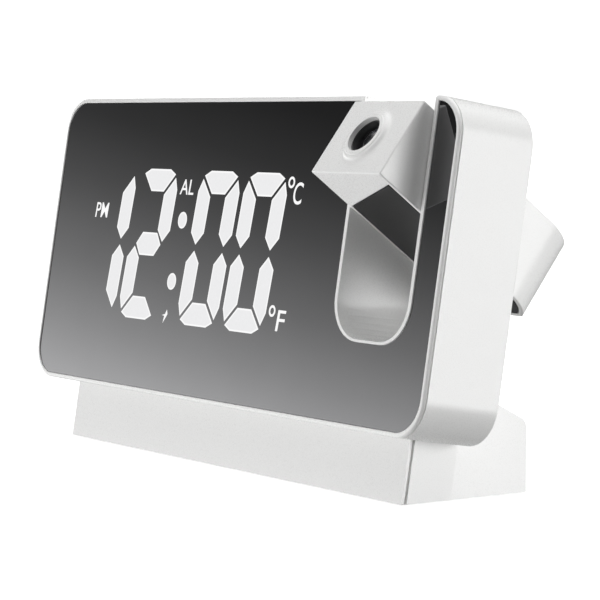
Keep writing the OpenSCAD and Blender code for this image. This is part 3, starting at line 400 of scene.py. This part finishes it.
softCopy("front_bezel", "bezelRounded", "housing", "white_shell",
         ((rounding["rim"], onFrontRim), (rounding["lip"], onFront)), shaping=fullerSlot)
softCopy("mirror_panel", "mirrorFitted", "housing", "mirror_acrylic", shaping=fullerSlot)
softCopy("rear_housing", "tubRounded", "housing", "white_shell", ((rounding["housing"], onRearRim),),
         shaping=fullerSlot)
softCopy("stand_front", "neckCoverRounded", "housing", "white_shell", ((rounding["stand"], onNeckFoot),),
         shaping=widerGroove)
softCopy("stand_shell", "standRounded", "housing", "white_shell", ((rounding["stand"], onStandEnd),))
softCopy("arm_shell", "armRounded", "projector_arm", "white_shell", ((rounding["arm"], onArmOutline),))
softCopy("snooze_bar", "snoozeBarRounded", "snooze", "white_shell",
         ((rounding["bar"], lambda e: all(p.z > rounding["barAbove"] for p in inHousing(e))),))
for number in range(1, 6):
    softCopy(f"key_{number}", f"rearKeyRounded{number}", f"rear_key_{number}", "white_shell",
             ((rounding["key"], lambda e: all(p.y > rounding["keyBehind"] for p in inHousing(e))),))
softCopy("battery_door", "doorRounded", "housing", "white_shell",
         ((rounding["door"], lambda e: all(p.y > rounding["doorBehind"] for p in inHousing(e))),))


# the lens end: a turned ring, the black barrel behind it and its domed lens
optic = {
    "face": 20.5,                       # the head's end face, from the pivot along the optical axis
    "sunk": 0.3,                        # the ring's foot reaches this far into the head
    "flankR": 8.1,
    "flank": ((7.7, 0.06), (7.35, 0.17), (7.05, 0.34), (6.75, 0.58), (6.45, 0.8)),   # radius, height
    "flankStart": 0.01,                 # height on the face at which the flank starts
    "crestR": 5.62, "crestH": 1.1, "crestRound": 0.45, "crestTurn": (30, 150),
    "mouthR": 4.86, "mouthH": 0.3, "mouthChamfer": (0.1, 0.15),
    "barrelBack": 8.6, "barrelR": 4.74, "barrelBehindMouth": 0.3, "barrelEdge": 0.15, "barrelFaceR": 4.25,
    "bore": 3.86,
    "flare": ((0.1, 0.9), (0, 1.1)),    # over the bore's radius, behind the barrel's face
    "ledge": 0.35, "ledgeFrom": 0.2, "ledgeTo": 0.3,   # the seat behind the lens
    "lensRim": 18.5, "lensBack": 15.1, "lensBall": 5.6, "lensPlay": 0.01,
    "lensTail": ((1, 0), (0.6, 0.7), (0, 1)),   # share of the rim's radius, behind the lens's back
    "domeSteps": 10, "steps": 96, "sharp": 40,
    "merge": 0.001,
}


def turned(name, profile, body, materialSlot, *replaced):
    # a profile of radius and height in millimetres, spun about the arm's optical axis
    shape = bmesh.new()
    points = [shape.verts.new((radius, 0, height)) for radius, height in profile]
    path = [shape.edges.new(pair) for pair in zip(points, points[1:])]
    bmesh.ops.spin(shape, geom=points + path, cent=(0, 0, 0), axis=(0, 0, 1), angle=2 * pi,
                   steps=optic["steps"], use_merge=True)
    bmesh.ops.remove_doubles(shape, verts=shape.verts, dist=optic["merge"])
    bmesh.ops.recalc_face_normals(shape, faces=shape.faces)
    shape.transform(armFrame)
    mesh = bpy.data.meshes.new(name)
    shape.to_mesh(mesh)
    shape.free()
    mesh.materials.append(finishes[materialSlot])
    mesh.shade_smooth()
    mesh.set_sharp_from_angle(angle=radians(optic["sharp"]))
    return place(bpy.data.objects.new(name, mesh), body, materialSlot, *replaced)


def arc(midR, midH, radius, start, end, steps=6):   # points of an arc in a profile, in degrees
    turns = [radians(start + (end - start) * i / steps) for i in range(steps + 1)]
    return [(midR + radius * cos(t), midH + radius * sin(t)) for t in turns]


head, mouthTop = optic["face"], optic["face"] + optic["mouthH"]
ring = [(optic["flankR"], head - optic["sunk"]), (optic["flankR"], head + optic["flankStart"])]
ring += [(radius, head + height) for radius, height in optic["flank"]]
ring += arc(optic["crestR"], head + optic["crestH"] - optic["crestRound"], optic["crestRound"],
            *optic["crestTurn"])
ring += [(optic["mouthR"] + optic["mouthChamfer"][0], mouthTop + optic["mouthChamfer"][1]),
         (optic["mouthR"], mouthTop), (optic["mouthR"], head - optic["sunk"])]
turned("lensRing", ring + ring[:1], "projector_arm", "white_shell")

front, bore = mouthTop - optic["barrelBehindMouth"], optic["bore"]
barrel = [(optic["barrelR"], optic["barrelBack"]), (optic["barrelR"], front - optic["barrelEdge"]),
          (optic["barrelR"] - optic["barrelEdge"], front), (optic["barrelFaceR"], front)]
barrel += [(bore + wider, front - behind) for wider, behind in optic["flare"]]
barrel += [(bore, optic["lensBack"] - optic["ledgeFrom"]),
           (bore - optic["ledge"], optic["lensBack"] - optic["ledgeTo"]),
           (bore - optic["ledge"], optic["barrelBack"])]
turned("focusBarrel", barrel + barrel[:1], "focus_barrel", "black_moulding", "lens_barrel")

rimR, ball = bore - optic["lensPlay"], optic["lensBall"]
rimTurn = asin(rimR / ball)
dome = []
for i in range(optic["domeSteps"] + 1):
    turn = rimTurn * i / optic["domeSteps"]
    dome.append((ball * sin(turn), optic["lensRim"] + ball * (cos(turn) - cos(rimTurn))))
dome += [(rimR * share, optic["lensBack"] - behind) for share, behind in optic["lensTail"]]
turned("projectingLens", dome, "focus_barrel", "optic_glass", "front_lens")

# the lit figures, on the mirror's face
figures = {
    "centres": (-60.6, -38.7, -7.9, 14.0),
    "middle": 39.35,                    # height of the figures' middle line
    "slant": 4.5,                       # degrees
    "height": 40.3, "width": 20.0, "segment": 6.3, "gap": 0.5,
    "shown": ((3, 4), (0, 3, 2, 5, 1), (0, 1, 3, 4, 5, 6), (0, 1, 3, 4, 5, 6)),
    "colonX": -23.3, "colonMiddle": 38.15, "colonRise": 8.1, "colonR": 2.2, "colonSegments": 40,
    "edge": 0.42,                       # the film is brightest in a line round each segment
    "thick": 0.03,
}
halfW, halfH = figures["width"] / 2, figures["height"] / 2
innerX, tipX, gap = halfW - figures["segment"], halfW - figures["segment"] / 2, figures["gap"]
# corner by corner, about the figure's middle: the upper right, the top and the middle segment
upright = [(halfW - 1.6, halfH - 2.2), (halfW, halfH - 5.4), (halfW, 3.9), (tipX, 0.8), (innerX, 3.9),
           (innerX, halfH - 6.8)]
cap = [(2 - halfW, halfH - 1.3), (4.9 - halfW, halfH), (halfW - 4.9, halfH), (halfW - 2, halfH - 1.3),
       (innerX - gap, halfH - 6), (gap - innerX, halfH - 6)]
middle = [(gap - tipX, 0), (-innerX, 3.1), (innerX, 3.1), (tipX - gap, 0), (innerX, -3.1), (-innerX, -3.1)]
# each segment as its outline and the sides to which it is turned
segments = [(cap, 1, 1), (cap, 1, -1), (middle, 1, 1), (upright, 1, 1), (upright, 1, -1), (upright, -1, -1),
            (upright, -1, 1)]
plateY = clock["faceY"] - figures["thick"]
standUp = Matrix.Rotation(radians(90), 4, "X")


def leaned(x, z):                       # a point of the display, slanted with the figures
    return x + (z - figures["middle"]) * tan(radians(figures["slant"])), z


def addPlate(shape, outline):           # a flat outline on the mirror's face
    corners = [shape.verts.new((x, plateY, z)) for x, z in outline]
    bmesh.ops.contextual_create(shape, geom=corners)


def finishPlates(shape, name, finishList, edge=0):
    # all plates face the front; then a bright line round each, its thickness and its place on the housing
    for face in shape.faces:
        face.normal_update()
        if face.normal.y > 0:
            face.normal_flip()
    if edge:
        inner = list(shape.faces)
        bmesh.ops.inset_individual(shape, faces=inner, thickness=edge, use_even_offset=True)
        for face in shape.faces:
            face.material_index = 0 if face in inner else 1
    bmesh.ops.solidify(shape, geom=shape.faces[:], thickness=figures["thick"])
    shape.transform(housingFrame)
    bmesh.ops.recalc_face_normals(shape, faces=shape.faces)
    mesh = bpy.data.meshes.new(name)
    shape.to_mesh(mesh)
    shape.free()
    for finish in finishList:
        mesh.materials.append(finish)
    return place(bpy.data.objects.new(name, mesh), "housing", "diffuser_film")


shape = bmesh.new()
for centre, shown in zip(figures["centres"], figures["shown"]):
    for index in shown:
        outline, sideX, sideZ = segments[index]
        addPlate(shape, [leaned(centre + sideX * x, figures["middle"] + sideZ * z) for x, z in outline])
for side in (-1, 1):
    midX, midZ = leaned(figures["colonX"], figures["colonMiddle"] + side * figures["colonRise"])
    bmesh.ops.create_circle(shape, cap_ends=True, radius=figures["colonR"],
                            segments=figures["colonSegments"],
                            matrix=Matrix.Translation((midX, plateY, midZ)) @ standUp)
finishPlates(shape, "litFigures", [finishes["diffuser_film"], filmEdge], edge=figures["edge"])

# the small signs: words, degree rings and the charging bolt
signs = {
    # the text, its left and right end, its foot and its top
    "words": (("PM", -69.6, -62.6, 45.6, 49.7), ("AL", -26.0, -18.9, 53.0, 57.0),
              ("C", 27.9, 32.2, 51.9, 57.4), ("F", 28.0, 31.9, 20.6, 25.8)),
    "bolder": 0.004, "roundness": 6,    # offset and resolution of the letters
    "rings": ((26.6, 57.3, 1.45), (25.6, 25.4, 1.45)),   # middle and radius
    "ringWidth": 0.62, "ringSegments": 32,
    "bolt": ((-24.4, 22.6), (-26.6, 21.0), (-25.4, 20.9), (-25.8, 19.0), (-23.9, 21.4), (-25.1, 21.4)),
    "slant": 0.08, "merge": 0.001,
}
shape = bmesh.new()
for text, low, high, foot, top in signs["words"]:
    letters = bpy.data.curves.new("letters", "FONT")
    letters.body, letters.resolution_u, letters.offset = text, signs["roundness"], signs["bolder"]
    holder = bpy.data.objects.new("letters", letters)
    bpy.context.scene.collection.objects.link(holder)
    flat = bpy.data.meshes.new_from_object(holder.evaluated_get(bpy.context.evaluated_depsgraph_get()))
    bpy.data.objects.remove(holder)
    xs, zs = [v.co.x for v in flat.vertices], [v.co.y for v in flat.vertices]
    rise = (top - foot) / (max(zs) - min(zs))
    run = (high - low - signs["slant"] * (top - foot)) / (max(xs) - min(xs))
    for v in flat.vertices:
        z = (v.co.y - min(zs)) * rise
        v.co = ((v.co.x - min(xs)) * run + low + z * signs["slant"], plateY, foot + z)
    shape.from_mesh(flat)
    bpy.data.meshes.remove(flat)
bmesh.ops.remove_doubles(shape, verts=shape.verts, dist=signs["merge"])
for midX, midZ, radius in signs["rings"]:
    rims = []
    for r in (radius, radius - signs["ringWidth"]):
        circle = bmesh.ops.create_circle(shape, cap_ends=False, radius=r, segments=signs["ringSegments"],
                                         matrix=Matrix.Translation((midX, plateY, midZ)) @ standUp)
        rims += list({e for v in circle["verts"] for e in v.link_edges})
    bmesh.ops.bridge_loops(shape, edges=rims)
addPlate(shape, signs["bolt"])
finishPlates(shape, "litSigns", [filmEdge])

# floor, light and camera
studio = {
    "floorSide": 60.0,
    "floorGlow": 0.6,                   # the sweep is lit from below too, so shadows on it stay faint
    "lens": 155.04, "sensor": 36, "clipStart": 0.01,
    "eye": (0.557018, -0.361299, 0.091430),
    "turn": (85.7573, 0.2241, 56.5597),
    # brightness of the tent by the height of the direction: a bright line at the horizon over a dim ground
    "horizon": ((-1.0, 0.16), (-0.06, 0.16), (-0.03, 1.0), (0.045, 1.0), (0.055, 0.0), (0.25, 0.0),
                (0.5, 0.08)),
    "horizonLevel": 1.05,
    # the band above it, bright at its foot and only on the left, that the mirror shows
    "band": ((-1.0, 0.0), (0.0, 0.0), (0.045, 1.0), (0.058, 0.89), (0.076, 0.63), (0.10, 0.37), (0.13, 0.17),
             (0.154, 0.08), (0.18, 0.04), (0.25, 0.0)),
    "bandLevel": 2.05,
    # light that comes up from the floor at the front left
    "ground": ((-1.0, 1.0), (0.0, 1.0), (0.02, 0.0)),
    "groundLevel": 1.85,
    # where, along X and Y of the direction, the left side and the front side start and are full
    "leftward": (0.3, -0.3), "frontward": (0.3, -0.5),
}
# soft cards in the tent: direction, cosine at which each starts and is full, brightness
cards = {
    "rearRight": ((0.80, 0.59, 0.04), 0.90, 0.985, 5.2),
    "rear": ((0.30, 0.90, 0.05), 0.75, 0.97, 0.9),
    "frontRight": ((0.80, -0.55, 0.10), 0.80, 0.97, 0.15),
    "frontTop": ((-0.30, -0.75, 0.58), 0.84, 0.97, 0.9),
    "top": ((-0.10, 0.10, 0.97), 0.70, 0.97, 2.6),
}
shape = bmesh.new()
bmesh.ops.create_grid(shape, x_segments=1, y_segments=1, size=studio["floorSide"] / 2)
mesh = bpy.data.meshes.new("paleFloor")
shape.to_mesh(mesh)
shape.free()
# matt white paper sweep on a light table: pale and plain, with the faintest cloud in its tone
paper, tree, shader, where = newFinish("mattPaperSweep", {"Roughness": 0.9, "Specular IOR Level": 0.1,
                                                          "Emission Color": toLinear("#ffffff"),
                                                          "Emission Strength": studio["floorGlow"]})
twoTone(tree, where, shader.inputs["Base Color"], "#f4f4f4", "#f8f8f8", grain=1000 / 3, detail=2.0)
mesh.materials.append(paper)
floor = bpy.data.objects.new("paleFloor", mesh)
bpy.context.scene.collection.objects.link(floor)
floor.visible_diffuse = False           # the tent's lower half stands for its bounce light
floor.visible_glossy = False

world = bpy.data.worlds.new("lightTent")
bpy.context.scene.world = world
world.use_nodes = True
tree = world.node_tree
toward = addNode(tree, "TexCoord").outputs["Generated"]
split = addNode(tree, "SeparateXYZ", {0: toward})

ramps = {}                              # a grey level by the height of the direction
for name in ("horizon", "band", "ground"):
    half = addNode(tree, "MapRange", {"Value": split.outputs["Z"], "From Min": -1.0, "From Max": 1.0})
    ramp = addNode(tree, "ValToRGB", {0: half.outputs["Result"]})
    stops = ramp.color_ramp.elements
    stops.remove(stops[1])
    for index, (height, level) in enumerate(studio[name]):
        stop = stops[0] if index == 0 else stops.new((height + 1) / 2)
        stop.position = (height + 1) / 2
        stop.color = (level, level, level, 1)
    ramps[name] = ramp.outputs["Color"]
sides = {}
for name, axis in (("leftward", "X"), ("frontward", "Y")):
    start, full = studio[name]
    side = addNode(tree, "MapRange", {"Value": split.outputs[axis], "From Min": start, "From Max": full},
                   interpolation_type="SMOOTHSTEP")
    sides[name] = side.outputs["Result"]

# each layer of light is the product of its factors, and the tent is their sum
layers = [(ramps["horizon"], studio["horizonLevel"]),
          (ramps["band"], sides["leftward"], studio["bandLevel"]),
          (ramps["ground"], sides["leftward"], sides["frontward"], studio["groundLevel"])]
for direction, start, full, level in cards.values():
    facing = addNode(tree, "VectorMath", {0: toward, 1: Vector(direction).normalized()},
                     operation="DOT_PRODUCT")
    card = addNode(tree, "MapRange", {"Value": facing.outputs["Value"], "From Min": start, "From Max": full,
                                      "To Max": level}, interpolation_type="SMOOTHSTEP")
    layers.append((card.outputs["Result"],))
glow = None
for layer, *factors in layers:
    for factor in factors:
        layer = addNode(tree, "Math", {0: layer, 1: factor}, operation="MULTIPLY").outputs[0]
    glow = layer if glow is None else addNode(tree, "Math", {0: glow, 1: layer}, operation="ADD").outputs[0]
tree.links.new(glow, tree.nodes["Background"].inputs["Color"])

eye = bpy.data.cameras.new("eye")
eye.lens, eye.sensor_width, eye.clip_start = studio["lens"], studio["sensor"], studio["clipStart"]
holder = bpy.data.objects.new("eye", eye)
holder.location = studio["eye"]
holder.rotation_euler = [radians(a) for a in studio["turn"]]
bpy.context.scene.collection.objects.link(holder)
bpy.context.scene.camera = holder
bpy.context.scene.view_settings.view_transform = "Standard"
print("stage, light and camera set")
